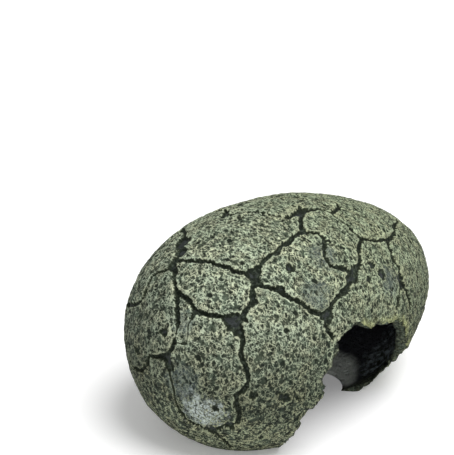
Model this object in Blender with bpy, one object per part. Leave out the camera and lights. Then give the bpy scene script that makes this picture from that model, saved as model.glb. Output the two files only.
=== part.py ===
"""A hollow fossil dinosaur egg, lying on its long side.

The shell is one body of stone. Its under side is cut off flat, so that it stands on the cut rim, and
an arched hole with a jagged edge is broken through its front. The long axis is X, with the pointed end
at +X, and the broken hole faces -Y. The origin is on the ground, under the middle of the egg's length.

A place on the egg is given as (longitude, latitude) in degrees, like a place on a globe whose pole
is the top of the lying egg: longitude 0 is the pointed end, -90 the front and 180 the broad end.
"""

import math
import random

import bmesh
import bpy
from mathutils import Vector, noise
from mathutils.geometry import delaunay_2d_cdt
from mathutils.kdtree import KDTree

MM = 0.001

# The whole egg, before its under side is cut off
LENGTH = 156 * MM
GIRTH = 100 * MM
GIRTH_SHIFT = 17.5 * MM  # how far the widest place lies from the middle, towards the broad end
AXIS_HEIGHT = 39 * MM  # the egg's axis above the flat cut
WALL = 5.5 * MM

# Relief
CRACK_DEPTH = 1.5 * MM
CRACK_SIDE = 0.75  # share of a crack's half width over which its wall slopes down
HOLLOW_SIDE = 0.45  # the same for a hollow's radius
UNDULATION = 0.45 * MM  # slow swelling of the outer surface
UNDULATION_PITCH = 24 * MM
INNER_UNDULATION = 0.5 * MM
BREAK_ROUGHNESS = 0.8 * MM  # unevenness across the broken edge of the hole

# Spacing of the mesh's points
CRACK_STEP = 3.6 * MM
OUTER_STEP = 4.3 * MM
INNER_STEP = 8.0 * MM
RIM_STEP = 4.4 * MM
ARCH_STEP = 3.1 * MM
LINE_STEP = 0.5 * MM  # between the points that a distance to a crack is measured from
ROW_SPREAD = 1.21  # distance between rows of spread places, against the step along a row
REACH = 160  # degrees from the top that the spread places reach
BIG_HOLLOW = 2.6 * MM  # a hollow with a larger radius gets a second ring of points

# Least distances between the mesh's points
CRACK_GAP = 0.7 * MM  # from a crack's centre line
HOLLOW_GAP = 1.0 * MM
LOOSE_GAP = 1.05 * MM
FILLER_GAP = 2.7 * MM
EDGE_GAP = 1.6 * MM
INNER_EDGE_GAP = 4.0 * MM
GROUND_GAP = 1.5 * MM
INNER_GROUND_GAP = 2.5 * MM
SEED = 7

# The broken edge of the hole, from its left foot over the arch to its right foot. The two feet stand
# on the ground, so they have a longitude alone.
LEFT_FOOT = -135
ARCH = [
    (-130, -36), (-127, -28.5), (-126, -20.5), (-124, -17), (-120.5, -13.5), (-118, -10), (-117.5, -6.5),
    (-119, -2.5), (-117, 0.5), (-115, 4), (-112.5, 7), (-112, 10), (-112.8, 11.6), (-111.3, 12.8),
    (-108.3, 14.4), (-105.3, 16), (-102.3, 16.5), (-100.2, 13.6), (-98, 11.5), (-95, 11), (-92.8, 12.9),
    (-90.5, 9.4), (-86, 7.4), (-82, 6.6), (-78.3, 3), (-75.5, -3), (-73, -9), (-69, -16), (-64, -23),
    (-59, -31), (-56, -40), (-57.5, -50),
]
RIGHT_FOOT = -62

# Cracks between the plates of the front: name, width in millimetres, course
FRONT_CRACKS = [
    ("oval plate, top", 2.4, [
        (-194, 39.5), (-188, 40.6), (-184.5, 41.8), (-177.5, 43.4), (-171, 44), (-167, 43.8), (-161, 43.7),
        (-157, 42.5), (-152, 42), (-148.6, 42)]),
    ("oval plate, left", 2.6, [
        (-192.3, 36.6), (-187.5, 36), (-185.4, 33.5), (-183, 31.5), (-180.3, 29.4), (-174.5, 28.5),
        (-171, 27), (-168.8, 24.6), (-164.8, 24.7), (-161, 24.9), (-157.5, 24.9), (-152.5, 23.5)]),
    ("oval plate, right", 2.9, [
        (-148.6, 42), (-146.6, 38.7), (-147.2, 36.3), (-146.1, 33.8), (-146.6, 31.5), (-147.7, 29.2),
        (-149.5, 26.2), (-152.5, 23.5)]),
    ("long crack down the broad end", 2.5, [
        (-180.3, 29.4), (-177.8, 25.5), (-175.7, 22), (-174.7, 19.3), (-174.2, 16.8), (-174, 14.3),
        (-174.7, 12.2), (-175.3, 10), (-176.3, 7.8), (-177, 5.5)]),
    ("sliver", 1.5, [(-168.8, 24.6), (-169.8, 20), (-169.5, 16), (-169.3, 13), (-174.7, 12.2)]),
    ("far left", 1.9, [
        (-194, 39.5), (-192.3, 36.6), (-193.5, 34.3), (-197.5, 32.3), (-200.2, 30), (-199.8, 27.3),
        (-198.7, 24.7), (-197.5, 21.7), (-199.3, 18.8), (-204.5, 16)]),
    ("low left", 1.9, [
        (-177, 5.5), (-180.3, 5.3), (-183.2, 4), (-185.5, 4), (-187.7, -1.5), (-190.5, -4), (-197, -6)]),
    ("under the long crack", 1.7, [
        (-177, 5.5), (-175.7, 2), (-175, -2), (-174, -6), (-174, -11), (-172.5, -16)]),
    ("up to the top", 2.4, [
        (-148.6, 42), (-145.6, 45.6), (-144.3, 48.8), (-140.6, 51.4), (-137.5, 52.2), (-136, 55.4),
        (-130.3, 57.5), (-126.8, 60.5), (-120.1, 62.7), (-119.8, 68), (-118.8, 72.5), (-118, 75.6),
        (-111, 79.2)]),
    ("arc over the shoulder", 2.5, [
        (-120.1, 62.7), (-114.2, 61.9), (-108.6, 60.6), (-106.6, 57.6), (-107.4, 54.2), (-109.7, 51),
        (-110.1, 47.8), (-109.7, 44.2), (-107.6, 43), (-104, 41.8), (-101.4, 39.8), (-100, 36.5)]),
    ("shoulder to the crown", 1.8, [
        (-118, 75.6), (-103, 77.2), (-88, 76.8), (-78.5, 74.3), (-78.2, 71), (-80.2, 68), (-81.8, 64),
        (-81.6, 60), (-82.6, 56), (-81.8, 51.3)]),
    ("crown spur", 1.8, [(-78.2, 71), (-66, 71), (-55, 71.6), (-40, 73.2), (-32, 75)]),
    ("shoulder, down its right", 2.5, [
        (-81.8, 51.3), (-85.3, 49), (-89.7, 46), (-91.7, 42), (-95.7, 39), (-100, 36.5), (-104.2, 32.5),
        (-107.5, 31.3), (-110.5, 29.8), (-112.7, 28), (-114.5, 26), (-115.5, 23.5), (-116.4, 19.2),
        (-115.6, 16.8), (-113.9, 14.1), (-112.8, 11.6)]),
    ("diagonal", 2.6, [
        (-148.6, 42), (-145.2, 39.8), (-142.6, 37.8), (-138.9, 37), (-135.5, 35.8), (-132.2, 33.6),
        (-129.4, 32.3), (-126.2, 30.5), (-124, 28.8), (-121.5, 26.4), (-118.8, 24.5), (-115.5, 23.5)]),
    ("right, level", 1.8, [
        (-81.8, 51.3), (-76.5, 49.2), (-73.8, 47.2), (-68, 45.7), (-63, 43.7), (-58.5, 43.3), (-50.3, 43.8),
        (-44.3, 45)]),
    ("right, down to the arch", 1.9, [
        (-63, 43.7), (-67, 41.7), (-69.5, 39.3), (-71.6, 35.3), (-71.8, 30), (-72.6, 26.5), (-74.4, 22.8),
        (-73.3, 20), (-72.2, 15), (-71.3, 8.5)]),
    ("right spur", 1.5, [(-74.4, 22.8), (-77.3, 19.6), (-79.5, 16), (-82, 13.6)]),
    ("down the front", 2.9, [
        (-152.5, 23.5), (-149.4, 20.5), (-148.5, 17.5), (-148.5, 15), (-148.8, 12.5), (-147.8, 10),
        (-146.6, 7.5), (-146, 4.8), (-146, 2), (-146.7, 0), (-148.5, -1.7), (-150.3, -3.2), (-150, -6),
        (-149.8, -9.5), (-149.3, -13), (-150, -16), (-153, -17.5), (-157, -19), (-161.5, -22),
        (-165, -20.5), (-168.5, -19.5), (-171, -18), (-172.5, -16)]),
    ("down to the rim", 1.7, [(-161.5, -22), (-158, -28), (-156, -36)]),
    ("crown, level", 1.4, [
        (-118, 75.6), (-135, 72), (-150, 72.8), (-168, 74.3), (-182, 73.3), (-198, 68.3), (-205, 64.3)]),
]

# Cracks of the back, the pointed end and the crown, in the same form
BACK_CRACKS = [
    ("over the crown", 1.9, [(40, 83), (70, 79), (86, 74), (88, 66), (84, 55), (92, 45)]),
    ("back, upper", 2.2, [
        (92, 45), (75, 40), (58, 43), (42, 38), (25, 42), (5, 40), (-10, 44), (-28, 42), (-44.3, 45)]),
    ("back shoulder", 2.2, [(157, 46), (148, 49), (136, 47), (126, 53), (112, 52), (100, 48), (92, 45)]),
    ("back shoulder, left", 1.8, [(155, 64.3), (140, 66), (128, 60), (126, 53)]),
    ("back, steep", 2.3, [
        (92, 45), (108, 38), (112, 28), (100, 18), (104, 5), (95, -6), (100, -18), (92, -30), (95, -42)]),
    ("back of the broad end", 2.0, [(112, 28), (125, 22), (138, 17), (147, 12), (155.5, 16)]),
    ("back of the broad end, upper", 1.8, [(136, 47), (140, 36), (135, 27), (138, 17)]),
    ("back, level", 2.3, [
        (100, 18), (84, 14), (70, 20), (58, 12), (44, 16), (30, 8), (16, 12), (2, 5), (-14, 9), (-28, 4)]),
    ("back, short", 1.9, [(75, 40), (72, 30), (70, 20)]),
    ("back, short, right", 2.0, [(25, 42), (21, 30), (24, 20), (16, 12)]),
    ("pointed end, upper", 1.9, [(-10, 44), (-8, 32), (-16, 20), (-14, 9)]),
    ("back, down, middle", 2.1, [(58, 12), (54, -2), (62, -14), (56, -28), (60, -44)]),
    ("back, down, right", 2.0, [(30, 8), (26, -8), (32, -22), (24, -36), (28, -52)]),
    ("back, low, level", 1.9, [(95, -6), (78, -10), (62, -14), (45, -12), (26, -8)]),
    ("pointed end, down", 2.0, [(-14, 9), (-18, -6), (-10, -20), (-16, -38), (-12, -55)]),
    ("pointed end, low", 1.9, [(-28, 4), (-34, -8), (-30, -22), (-10, -20)]),
    ("broad end, down", 2.1, [(147, 12), (150, 0), (142, -12), (148, -24), (146, -34)]),
    ("broad end, level", 1.8, [(104, 5), (118, 2), (130, -6), (142, -12)]),
    ("broad end, short", 1.7, [(163, -6), (156, -4), (150, 0)]),
    ("crown, back", 1.9, [(88, 66), (60, 64), (38, 68), (22, 62), (10, 64)]),
    ("crown, back, short", 1.9, [(38, 68), (40, 54), (42, 38)]),
    ("crown, pointed end", 1.9, [(10, 64), (8, 54), (5, 40)]),
]

# Sunken places where cracks meet, and pits: (longitude, latitude), radius and depth in millimetres
HOLLOWS = [
    ((-148.5, 42.3), 3.2, 1.5), ((-153, 23.3), 4.2, 1.3), ((-149.6, 25.3), 2.6, 1.3), ((-115.3, 24), 3.0, 1.4),
    ((-99.3, 36.3), 3.5, 1.5), ((-118, 75.3), 3.0, 1.5), ((-110, 79), 2.7, 1.3), ((-202, 46), 3.6, 1.4),
    ((-194, 43), 3.4, 1.4), ((-191.5, 37), 3.0, 1.4), ((-133.6, 37), 2.2, 1.5), ((-119.6, 62.6), 2.2, 1.4),
    ((-106.6, 58), 2.1, 1.4), ((-176, 3.3), 3.0, 1.2), ((-187.5, -1), 2.3, 1.1), ((-130.5, 44.8), 2.3, 0.9),
    ((-107.3, 31.4), 2.1, 1.4), ((-153, -17.5), 2.5, 1.4), ((-180, 14.2), 1.8, 1.1), ((-134, -5.7), 1.9, 1.1),
    ((-131.7, -6.1), 1.8, 1.1), ((-144.2, -3.3), 1.6, 1.1), ((-128.2, -7.3), 1.5, 1.1), ((-132.6, 20.5), 1.5, 1.0),
    ((-193.3, 3), 2.0, 1.0), ((-86.3, 38), 1.8, 1.1), ((-84, 32), 2.4, 0.8), ((-92.2, 32.3), 1.9, 1.0),
    ((-80.3, 17.3), 1.8, 1.0), ((-141.5, -27.3), 1.6, 1.0), ((-158, -10), 1.5, 1.0), ((-205, 64.6), 2.2, 1.3),
    ((-38, 73.6), 1.9, 1.2), ((-146, 33.3), 2.2, 1.4), ((-97.5, 40), 2.0, 1.2), ((92, 45), 3.4, 1.4),
    ((70, 20), 3.0, 1.3), ((136, 47), 3.0, 1.3), ((112, 28), 3.2, 1.4), ((62, -14), 3.0, 1.3),
    ((16, 12), 2.8, 1.3), ((-28, 4), 2.6, 1.3), ((147, 12), 2.8, 1.3), ((100, 30), 1.8, 1.0),
    ((50, 30), 1.9, 1.0), ((82, 2), 1.8, 1.0), ((120, -16), 1.9, 1.0), ((128, 36), 1.8, 1.0),
    ((10, 26), 1.7, 1.0), ((38, -2), 1.7, 1.0), ((16, 52), 1.8, 1.0), ((62, 54), 1.9, 1.0),
]


def clear_scene():
    for obj in list(bpy.data.objects):
        bpy.data.objects.remove(obj, do_unlink=True)


def direction(place):
    """The unit vector of a (longitude, latitude)."""
    lon, lat = math.radians(place[0]), math.radians(place[1])
    return Vector((math.cos(lat) * math.cos(lon), math.cos(lat) * math.sin(lon), math.sin(lat)))


class Egg:
    """An egg whose cross-sections are circles, broad at -X and pointed at +X."""

    def __init__(self, length, girth):
        self.half = length / 2
        self.girth = girth

    def roundness(self, x):
        """The radius that the cross-section at x would have if the egg didn't close towards its ends."""
        full = 2 * self.half
        swell = full**2 + 8 * GIRTH_SHIFT * x + 4 * GIRTH_SHIFT**2
        return self.girth / 2 * full / math.sqrt(swell)

    def point(self, way):
        """The place on the surface that a unit vector names."""
        x = self.half * way.x
        across = self.roundness(x)
        return Vector((x, across * way.y, AXIS_HEIGHT + across * way.z))

    def way(self, point):
        """The unit vector that names the place nearest to a point close to the surface."""
        across = self.roundness(point.x)
        return Vector((point.x / self.half, point.y / across, (point.z - AXIS_HEIGHT) / across)).normalized()

    def normal(self, way):
        """The outward normal there, from two small steps on the surface."""
        side = way.orthogonal().normalized()
        other = way.cross(side)
        step = 0.002
        here = self.point(way)
        along = self.point((way + side * step).normalized()) - here
        across = self.point((way + other * step).normalized()) - here
        return along.cross(across).normalized()

    def ground_latitude(self, lon):
        """The latitude at which the surface meets the ground at this longitude."""
        low, high = -89.0, 0.0
        for _ in range(40):
            middle = (low + high) / 2
            if self.point(direction((lon, middle))).z < 0:
                low = middle
            else:
                high = middle
        return high


OUTER = Egg(LENGTH, GIRTH)
INNER = Egg(LENGTH - 2 * WALL, GIRTH - 2 * WALL)


def flat(way):
    """The stereographic map of the globe, with the pole in the middle of the sheet."""
    return Vector((way.x, way.y)) / (1 + way.z)


def unflat(point):
    """The unit vector of a place on that map."""
    square = point.length_squared
    return Vector((2 * point.x, 2 * point.y, 1 - square)) / (1 + square)


def spaced(points, step, closed=False):
    """Points a given step apart along a course of points, keeping every point of the course."""
    found = []
    ends = points[1:] + points[:1] if closed else points[1:]
    for start, end in zip(points, ends):
        parts = max(1, round((end - start).length / step))
        found += [start.lerp(end, i / parts) for i in range(parts)]
    return found if closed else found + [points[-1]]


def course(egg, places, step):
    """A course over the egg, as 3-D points on its surface."""
    loose = spaced([egg.point(direction(place)) for place in places], step)
    return [egg.point(egg.way(point)) for point in loose]


class Relief:
    """The depth of the cracks and hollows at any place on the outer surface."""

    def __init__(self, cracks, hollows):
        self.lines = []
        for _, width, places in cracks:
            points = course(OUTER, places, CRACK_STEP)
            self.lines.append((width * MM, points))
        samples = [(point, width) for width, line in self.lines for point in spaced(line, LINE_STEP)]
        self.widths = [width for _, width in samples]
        self.tree = KDTree(len(samples))
        for index, (point, _) in enumerate(samples):
            self.tree.insert(point, index)
        self.tree.balance()
        self.hollows = []
        for place, radius, depth in hollows:
            self.hollows.append((OUTER.point(direction(place)), radius * MM, depth * MM))

    def crack_depth(self, point):
        _, index, distance = self.tree.find(point)
        half = self.widths[index] / 2
        return CRACK_DEPTH * smooth_step((half - distance) / (half * CRACK_SIDE))

    def depth(self, point):
        deepest = self.crack_depth(point)
        for centre, radius, depth in self.hollows:
            distance = (point - centre).length
            if distance < radius:
                deepest = max(deepest, depth * smooth_step((radius - distance) / (radius * HOLLOW_SIDE)))
        return deepest


def smooth_step(value):
    value = min(max(value, 0.0), 1.0)
    return value * value * (3 - 2 * value)


def swelling(point, height):
    return height * noise.fractal(point / UNDULATION_PITCH, 0.7, 2.0, 3)


def ground_ring(egg, start, end, step):
    """The egg's edge on the ground, from one longitude up to another, about a step apart."""
    count = 240
    places = []
    for i in range(count + 1):
        lon = start + (end - start) * i / count
        places.append(egg.point(direction((lon, egg.ground_latitude(lon)))))
    length = sum((b - a).length for a, b in zip(places, places[1:]))
    parts = round(length / step)
    ring, walked, nextmark = [places[0]], 0.0, length / parts
    for a, b in zip(places, places[1:]):
        walked += (b - a).length
        if walked >= nextmark and len(ring) < parts:
            ring.append(b)
            nextmark += length / parts
    ring.append(places[-1])
    for point in ring:
        point.z = 0.0
    return ring


def edge_points():
    """The outer surface's edge, as unit vectors: over the arch, then round the ground rim."""
    arch = [(LEFT_FOOT, OUTER.ground_latitude(LEFT_FOOT))] + ARCH
    arch.append((RIGHT_FOOT, OUTER.ground_latitude(RIGHT_FOOT)))
    over = course(OUTER, arch, ARCH_STEP)
    ring = ground_ring(OUTER, RIGHT_FOOT, LEFT_FOOT + 360, RIM_STEP)
    return over, ring[1:-1]


def lattice(egg, step, jitter):
    """Places spread over the egg in rings about its top, about a step apart."""
    drawn = random.Random(SEED)
    ways = [Vector((0, 0, 1))]
    rings = round(math.radians(REACH) * egg.girth / 2 / (ROW_SPREAD * step))
    for i in range(1, rings):
        lat = 90 - REACH * i / rings
        around = 2 * math.pi * math.cos(math.radians(lat)) * (egg.half + egg.girth / 2) / 2
        count = max(5, round(around / step))
        for j in range(count):
            lon = 360 * (j + 0.5 * (i % 2) + drawn.uniform(-jitter, jitter)) / count
            ways.append(direction((lon, lat + drawn.uniform(-jitter, jitter) * REACH / rings)))
    return ways


def near(tree, point, distance):
    return tree.find(point)[2] is not None and tree.find(point)[2] < distance


def tree_of(points):
    tree = KDTree(len(points))
    for index, point in enumerate(points):
        tree.insert(point, index)
    tree.balance()
    return tree


def crack_points(relief):
    """Centre lines of the cracks, and points along both of their sides."""
    lines, sides = [], []
    for width, line in relief.lines:
        lines.append(line)
        for index, point in enumerate(line):
            before, after = line[max(0, index - 1)], line[min(len(line) - 1, index + 1)]
            normal = OUTER.normal(OUTER.way(point))
            side = normal.cross(after - before).normalized()
            for sign in (-1, 1):
                sides.append(point + side * (sign * width / 2))
    return lines, sides


def hollow_points(relief):
    """Rings of points about each hollow: its brim, its floor's edge and its centre."""
    found = []
    for centre, radius, _ in relief.hollows:
        normal = OUTER.normal(OUTER.way(centre))
        first = normal.orthogonal().normalized()
        second = normal.cross(first)
        big = radius >= BIG_HOLLOW
        count = 8 if big else 6
        for share in (1.0, 0.5) if big else (1.0,):
            for i in range(count):
                turn = 2 * math.pi * (i + share) / count
                found.append(centre + (first * math.cos(turn) + second * math.sin(turn)) * radius * share)
        found.append(centre)
    return found


def thinned(points, distance):
    """The points without those that lie nearer than a distance to an earlier one."""
    kept = []
    for point in points:
        if all((point - other).length > distance for other in kept):
            kept.append(point)
    return kept


def skin(egg, edge, lines, loose, least):
    """Triangles over one surface of the shell, inside its edge.

    Returns the points, as unit vectors, with the edge's own first and in order, and the triangles."""
    ways = [egg.way(point) for point in edge]
    joins = [(i, (i + 1) % len(edge)) for i in range(len(edge))]
    edge_tree = tree_of(edge)
    known = {}
    for line in lines:
        last = None
        for point in line:
            if near(edge_tree, point, least):
                last = None
                continue
            key = tuple(round(value, 6) for value in point)
            if key not in known:
                known[key] = len(ways)
                ways.append(egg.way(point))
            if last is not None and last != known[key]:
                joins.append((last, known[key]))
            last = known[key]
    ways += [egg.way(point) for point in loose if not near(edge_tree, point, least)]
    result = delaunay_2d_cdt([flat(way) for way in ways], joins, [], 0, 1e-6)
    places, faces, origins = result[0], result[2], result[3]
    order = {}
    for index, sources in enumerate(origins):
        for source in sources:
            order.setdefault(source, index)
    outline = [order[i] for i in range(len(edge))]
    border = [places[i] for i in outline]
    inside = [face for face in faces if within(sum((places[i] for i in face), Vector((0, 0))) / 3, border)]
    return [unflat(place) for place in places], outline, inside


def within(point, polygon):
    """True where a flat point lies inside a polygon."""
    found = False
    for a, b in zip(polygon, polygon[1:] + polygon[:1]):
        if (a.y > point.y) != (b.y > point.y):
            if point.x < (b.x - a.x) * (point.y - a.y) / (b.y - a.y) + a.x:
                found = not found
    return found


def inner_edge(over, ring):
    """The inner surface's edge, point for point under the outer one, with its feet on the ground."""
    ways = [OUTER.way(point) for point in over]
    edge = [grounded(ways[0])] + [INNER.point(way) for way in ways[1:-1]] + [grounded(ways[-1])]
    return edge + [grounded(OUTER.way(point)) for point in ring]


def grounded(way):
    """The place on the inner surface's ground edge at the longitude of a unit vector."""
    lon = math.degrees(math.atan2(way.y, way.x))
    point = INNER.point(direction((lon, INNER.ground_latitude(lon))))
    point.z = 0.0
    return point


def outer_skin(edge):
    relief = Relief(FRONT_CRACKS + BACK_CRACKS, HOLLOWS)
    lines, sides = crack_points(relief)
    centre_tree = tree_of([point for line in lines for point in spaced(line, LINE_STEP)])
    cores = thinned(hollow_points(relief), HOLLOW_GAP)
    loose = [point for point in cores + sides if not near(centre_tree, point, CRACK_GAP)]
    loose = thinned(loose, LOOSE_GAP)
    busy = tree_of(loose + [point for line in lines for point in line])
    filler = [OUTER.point(way) for way in lattice(OUTER, OUTER_STEP, 0.22)]
    loose += [point for point in filler if point.z > GROUND_GAP and not near(busy, point, FILLER_GAP)]
    ways, outline, faces = skin(OUTER, edge, lines, loose, EDGE_GAP)
    on_edge = set(outline)
    points = []
    for index, way in enumerate(ways):
        point = OUTER.point(way)
        if index not in on_edge:
            rise = swelling(point, UNDULATION) - relief.depth(point)
            point = point + OUTER.normal(way) * rise
        points.append(point)
    return points, outline, faces


def inner_skin(edge):
    filler = [INNER.point(way) for way in lattice(INNER, INNER_STEP, 0.2)]
    loose = [point for point in filler if point.z > INNER_GROUND_GAP]
    ways, outline, faces = skin(INNER, edge, [], loose, INNER_EDGE_GAP)
    on_edge = set(outline)
    points = []
    for index, way in enumerate(ways):
        point = INNER.point(way)
        if index not in on_edge:
            point = point + INNER.normal(way) * swelling(point + Vector((0.3, 0, 0)), INNER_UNDULATION)
        points.append(point)
    return points, outline, faces


def build_shell():
    over, ring = edge_points()
    edge = over + ring
    inner = inner_edge(over, ring)
    mesh = bmesh.new()
    outer_points, outer_line, outer_faces = outer_skin(edge)
    inner_points, inner_line, inner_faces = inner_skin(inner)
    outer_verts = [mesh.verts.new(point) for point in outer_points]
    inner_verts = [mesh.verts.new(point) for point in inner_points]
    for index, (a, b) in enumerate(zip(outer_line, inner_line)):
        outer_verts[a].co = edge[index]
        inner_verts[b].co = inner[index]
    for face in outer_faces:
        mesh.faces.new([outer_verts[i] for i in face])
    for face in inner_faces:
        mesh.faces.new([inner_verts[i] for i in reversed(face)])
    close_edge(mesh, [outer_verts[i] for i in outer_line], [inner_verts[i] for i in inner_line], len(over))
    loose = [vert for vert in mesh.verts if not vert.link_faces]
    bmesh.ops.delete(mesh, geom=loose, context="VERTS")
    bmesh.ops.triangulate(mesh, faces=mesh.faces)
    bmesh.ops.recalc_face_normals(mesh, faces=mesh.faces)
    return mesh


def close_edge(mesh, outer, inner, arch_count):
    """Joins the two surfaces: a rough broken face round the arch, a flat rim on the ground."""
    middle = {}
    for index in range(1, arch_count - 1):
        before, after = outer[index - 1].co, outer[index + 1].co
        wall = inner[index].co - outer[index].co
        outward = wall.cross(after - before).normalized()
        rough = noise.noise(outer[index].co / (5 * MM)) * BREAK_ROUGHNESS
        share = 0.5 + 0.2 * noise.noise(outer[index].co / (4 * MM) + Vector((9, 9, 9)))
        place = outer[index].co + wall * share + outward * rough
        middle[index] = mesh.verts.new(place)
    count = len(outer)
    for index in range(count):
        after = (index + 1) % count
        a, b, c, d = outer[index], outer[after], inner[after], inner[index]
        here, there = middle.get(index), middle.get(after)
        if here and there:
            mesh.faces.new((b, a, here, there))
            mesh.faces.new((there, here, d, c))
        elif here:
            mesh.faces.new((b, a, here))
            mesh.faces.new((b, here, c))
            mesh.faces.new((here, d, c))
        elif there:
            mesh.faces.new((b, a, there))
            mesh.faces.new((a, d, there))
            mesh.faces.new((there, d, c))
        else:
            mesh.faces.new((b, a, d, c))


def fossil_stone():
    material = bpy.data.materials.new("fossil_stone")
    material.use_nodes = True
    shader = material.node_tree.nodes["Principled BSDF"]
    shader.inputs["Base Color"].default_value = (0.16, 0.18, 0.125, 1.0)
    shader.inputs["Roughness"].default_value = 0.85
    shader.inputs["Metallic"].default_value = 0.0
    return material


def add_eggshell():
    mesh = build_shell()
    data = bpy.data.meshes.new("eggshell")
    mesh.to_mesh(data)
    mesh.free()
    data.materials.append(fossil_stone())
    data.shade_smooth()
    data.set_sharp_from_angle(angle=math.radians(50))
    shell = bpy.data.objects.new("eggshell", data)
    bpy.context.scene.collection.objects.link(shell)


def main():
    clear_scene()
    add_eggshell()


main()
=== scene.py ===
"""A hollow fossil dinosaur egg: its cracked, porous stone shell, a floor, lights and a camera.

The shell starts as a copy of the solid. Its outer skin is divided to a fine mesh, laid back on the
egg's own form, and then carved: cracks with crumbling sides, large pores and a grainy broken edge.
The net of small ridges and pores is in its colour and bump. Lengths are in metres, apart from those
in the node trees and those stored on the mesh's points for them, which are in millimetres.
"""

import math

import bpy
import numpy as np
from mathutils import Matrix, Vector, noise
from mathutils.kdtree import KDTree


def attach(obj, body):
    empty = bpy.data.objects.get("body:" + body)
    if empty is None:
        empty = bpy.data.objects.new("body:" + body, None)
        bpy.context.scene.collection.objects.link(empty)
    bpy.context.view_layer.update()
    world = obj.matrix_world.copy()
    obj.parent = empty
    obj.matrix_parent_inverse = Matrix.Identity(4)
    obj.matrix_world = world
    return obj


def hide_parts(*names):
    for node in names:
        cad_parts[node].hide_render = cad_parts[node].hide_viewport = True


bl_info = {
    "name": "Fossil dinosaur egg",
    "version": (1, 0, 0),
    "blender": (4, 5, 0),
    "location": "View3D > Sidebar > Fossil egg",
    "description": "Carves and colours the shell of a hollow fossil egg",
    "category": "Object",
}

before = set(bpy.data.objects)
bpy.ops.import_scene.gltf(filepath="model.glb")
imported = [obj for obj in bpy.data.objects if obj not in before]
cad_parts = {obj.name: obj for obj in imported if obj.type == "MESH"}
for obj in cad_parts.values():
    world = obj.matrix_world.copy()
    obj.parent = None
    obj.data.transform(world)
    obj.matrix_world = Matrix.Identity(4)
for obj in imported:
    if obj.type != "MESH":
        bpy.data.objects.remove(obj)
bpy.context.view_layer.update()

MM = 0.001
SHELL_NODE = "eggshell"

# Surfaces of the shell, kept as material indices while it is modelled
SURFACES = ("skin", "inside", "break", "foot")
SKIN, INSIDE, BREAK, FOOT = range(len(SURFACES))


# ----------------------------------------
# What a user may change
# ----------------------------------------


def length_prop(name, description, default):
    return bpy.props.FloatProperty(
        name=name, description=description, default=default, unit="LENGTH"
    )


def colour_prop(name, description, default):
    return bpy.props.FloatVectorProperty(
        name=name, description=description, default=default, size=4, subtype="COLOR", min=0, max=1
    )


class EggForm(bpy.types.PropertyGroup):
    """The egg's form before relief."""

    length: length_prop("Length", "Length of the whole egg", 156 * MM)
    girth: length_prop("Girth", "Largest width of the whole egg", 100 * MM)
    girth_shift: length_prop(
        "Girth shift", "How far the widest place lies towards the broad end", 17.5 * MM
    )
    axis_height: length_prop("Axis height", "Height of the egg's axis above the ground", 39 * MM)
    wall: length_prop("Wall", "Thickness of the shell", 5.5 * MM)
    swell: length_prop("Swelling", "Height of the skin's slow swelling", 0.45 * MM)
    swell_pitch: length_prop("Swelling pitch", "Size of one swelling", 24 * MM)


class EggRelief(bpy.types.PropertyGroup):
    """Mesh size and carving."""

    skin_step: length_prop("Skin step", "Longest edge of the outer mesh", 1.45 * MM)
    crack_step: length_prop("Crack step", "Longest edge in and beside the cracks", 0.85 * MM)
    inside_step: length_prop("Inside step", "Longest edge of the inner mesh", 2.6 * MM)
    crack_depth: length_prop("Crack depth", "Depth of the cracks", 1.5 * MM)
    crack_side: length_prop("Crack side", "Width of a crack's sloping side", 0.6 * MM)
    crumble: length_prop("Crumble", "How far a plate's edge wanders", 0.7 * MM)
    pore_pitch: length_prop("Pore pitch", "Size of one pore of the net", 1.8 * MM)
    pore_depth: length_prop("Pore depth", "Depth of the deepest pores", 0.55 * MM)
    break_grain: length_prop("Break grain", "Roughness of the broken edge", 0.6 * MM)


class EggColours(bpy.types.PropertyGroup):
    """Colours of the stone, in linear light."""

    ridge: colour_prop("Ridge", "Dry, pale tops of the net", (0.74, 0.82, 0.61, 1))
    olive: colour_prop("Olive", "Tops of the net low on the egg", (0.64, 0.68, 0.40, 1))
    stone: colour_prop("Stone", "The stone between ridges and pores", (0.098, 0.124, 0.088, 1))
    pore: colour_prop("Pore", "The bottoms of the pores", (0.010, 0.015, 0.010, 1))
    crack: colour_prop("Crack", "Walls and bottoms of narrow cracks", (0.028, 0.036, 0.020, 1))
    filler: colour_prop("Filler", "Slate-grey filling of the wide cracks", (0.045, 0.052, 0.052, 1))
    blue: colour_prop("Blue-grey", "Cool tint of some plates", (0.105, 0.135, 0.14, 1))
    moss: colour_prop("Moss", "Yellow-green tint along the hole's edge", (0.54, 0.58, 0.26, 1))
    bleach: colour_prop("Bleach", "Pale patch low on the broad end", (0.60, 0.68, 0.64, 1))
    inside: colour_prop("Inside", "The hollow's dark lining", (0.034, 0.036, 0.042, 1))
    # Partly painted light: slate-grey stone inside beside the hole, made paler to stand in for the
    # light falling on it
    slate: colour_prop("Slate", "Paler stone inside, beside the hole", (0.38, 0.45, 0.48, 1))
    # Painted light: a pale patch low on the lining that stands for lit floor seen through the hole
    painted_floor_light: colour_prop("Painted_light", "Pale dust low on the lining", (0.88, 0.94, 0.86, 1))
    floor: colour_prop("Floor", "The floor", (0.93, 0.93, 0.93, 1))


# ----------------------------------------
# The egg's form
# ----------------------------------------


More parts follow.
